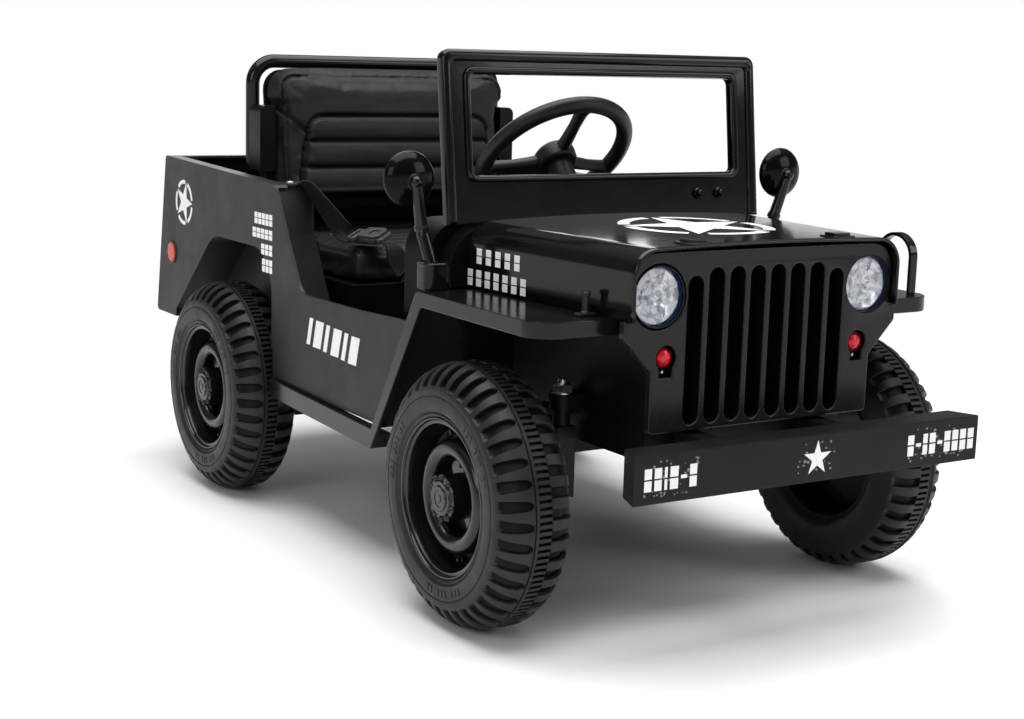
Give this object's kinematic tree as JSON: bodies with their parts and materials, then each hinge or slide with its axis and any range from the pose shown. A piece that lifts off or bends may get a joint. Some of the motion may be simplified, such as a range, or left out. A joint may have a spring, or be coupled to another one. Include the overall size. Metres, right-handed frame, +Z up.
{
  "type": "children's ride-on army 4x4 car",
  "caption": "Child-sized electric ride-on toy in the form of an open army 4x4, with an open windscreen frame, padded seat, round mirrors and steered front wheels.",
  "frame": {"origin": "on the ground, at the middle of the bounding box's base", "axes": "+Z up, -Y towards the front of the car, +Y towards its rear and its longest direction, +X towards its left side"},
  "size_m": [0.572, 1.0944, 0.5668],
  "materials": {
    "belt_web": "matte",
    "black_plastic": "matte",
    "buckle": "satin",
    "dark_metal": "satin",
    "fender_plastic": "satin",
    "gloss_black": "gloss",
    "lamp_clear": "gloss",
    "lamp_red": "gloss",
    "reflector_red": "gloss",
    "rim_plastic": "gloss",
    "seat_leather": "satin",
    "steel": "satin",
    "tub_plastic": "satin",
    "tyre": "matte"
  },
  "bodies": {
    "car_body": {"tub": "tub_plastic", "cowl": "fender_plastic", "fender_right": "fender_plastic", "fender_left": "fender_plastic", "bonnet": "gloss_black", "grille": "gloss_black", "headlamps": "lamp_clear", "marker_lamps": "lamp_red", "bumper": "black_plastic", "bumper_brackets": "black_plastic", "nose": "black_plastic", "windscreen_frame": "gloss_black", "roll_bar": "dark_metal", "seat_shell": "black_plastic", "back_cushion": "seat_leather", "seat_cushion": "seat_leather", "seat_belt": "belt_web", "belt_buckle": "buckle", "mirror_right": "black_plastic", "mirror_left": "black_plastic", "bonnet_latches": "black_plastic", "fender_pins": "dark_metal", "brush_guard": "black_plastic", "reflectors": "reflector_red", "tail_lamps": "lamp_red", "dashboard": "black_plastic", "steering_column": "black_plastic", "front_axle": "dark_metal", "rear_axle": "steel", "gearbox_right": "black_plastic", "gearbox_left": "black_plastic", "chassis": "black_plastic", "battery": "black_plastic", "pedal": "black_plastic", "shift_lever": "black_plastic"},
    "knuckle_right_body": {"knuckle_right": "dark_metal"},
    "knuckle_left_body": {"knuckle_left": "dark_metal"},
    "tie_rod_body": {"tie_rod": "dark_metal"},
    "steering_body": {"steering_wheel": "black_plastic", "steering_shaft": "dark_metal"},
    "wheel_front_right": {"tyre_front_right": "tyre", "rim_front_right": "rim_plastic"},
    "wheel_front_left": {"tyre_front_left": "tyre", "rim_front_left": "rim_plastic"},
    "wheel_rear_right": {"tyre_rear_right": "tyre", "rim_rear_right": "rim_plastic"},
    "wheel_rear_left": {"tyre_rear_left": "tyre", "rim_rear_left": "rim_plastic"}
  },
  "joints": [
    {"name": "steer", "type": "hinge", "parent": "car_body", "child": "knuckle_left_body", "pos_m": [0.142, -0.3217, 0.2], "axis": [0, 0, 1], "range_deg": [-20, 20]},
    {"name": "steer_right", "type": "hinge", "parent": "car_body", "child": "knuckle_right_body", "pos_m": [-0.142, -0.3217, 0.2], "axis": [0, 0, 1], "range_deg": [-20.5, 20.5]},
    {"name": "tie_rod_slide", "type": "slide", "parent": "car_body", "child": "tie_rod_body", "axis": [-1, 0, 0], "range_m": [-0.0112, 0.0112]},
    {"name": "steering_wheel_turn", "type": "hinge", "parent": "car_body", "child": "steering_body", "pos_m": [0, -0.077, 0.448], "axis": [0, 0.6947, 0.7193], "range_deg": [-41, 41]},
    {"name": "wheel_front_right_spin", "type": "hinge", "parent": "knuckle_right_body", "child": "wheel_front_right", "pos_m": [-0.246, -0.3217, 0.133], "axis": [1, 0, 0], "continuous": true},
    {"name": "wheel_front_left_spin", "type": "hinge", "parent": "knuckle_left_body", "child": "wheel_front_left", "pos_m": [0.246, -0.3217, 0.133], "axis": [1, 0, 0], "continuous": true},
    {"name": "wheel_rear_right_spin", "type": "hinge", "parent": "car_body", "child": "wheel_rear_right", "pos_m": [-0.246, 0.2906, 0.133], "axis": [1, 0, 0], "continuous": true},
    {"name": "wheel_rear_left_spin", "type": "hinge", "parent": "car_body", "child": "wheel_rear_left", "pos_m": [0.246, 0.2906, 0.133], "axis": [1, 0, 0], "continuous": true}
  ],
  "couplings": [
    {"joint": "steer_right", "follows": "steer", "ratio": 1},
    {"joint": "tie_rod_slide", "follows": "steer", "m_per_rad": 0.03128},
    {"joint": "steering_wheel_turn", "follows": "steer", "ratio": 2}
  ]
}
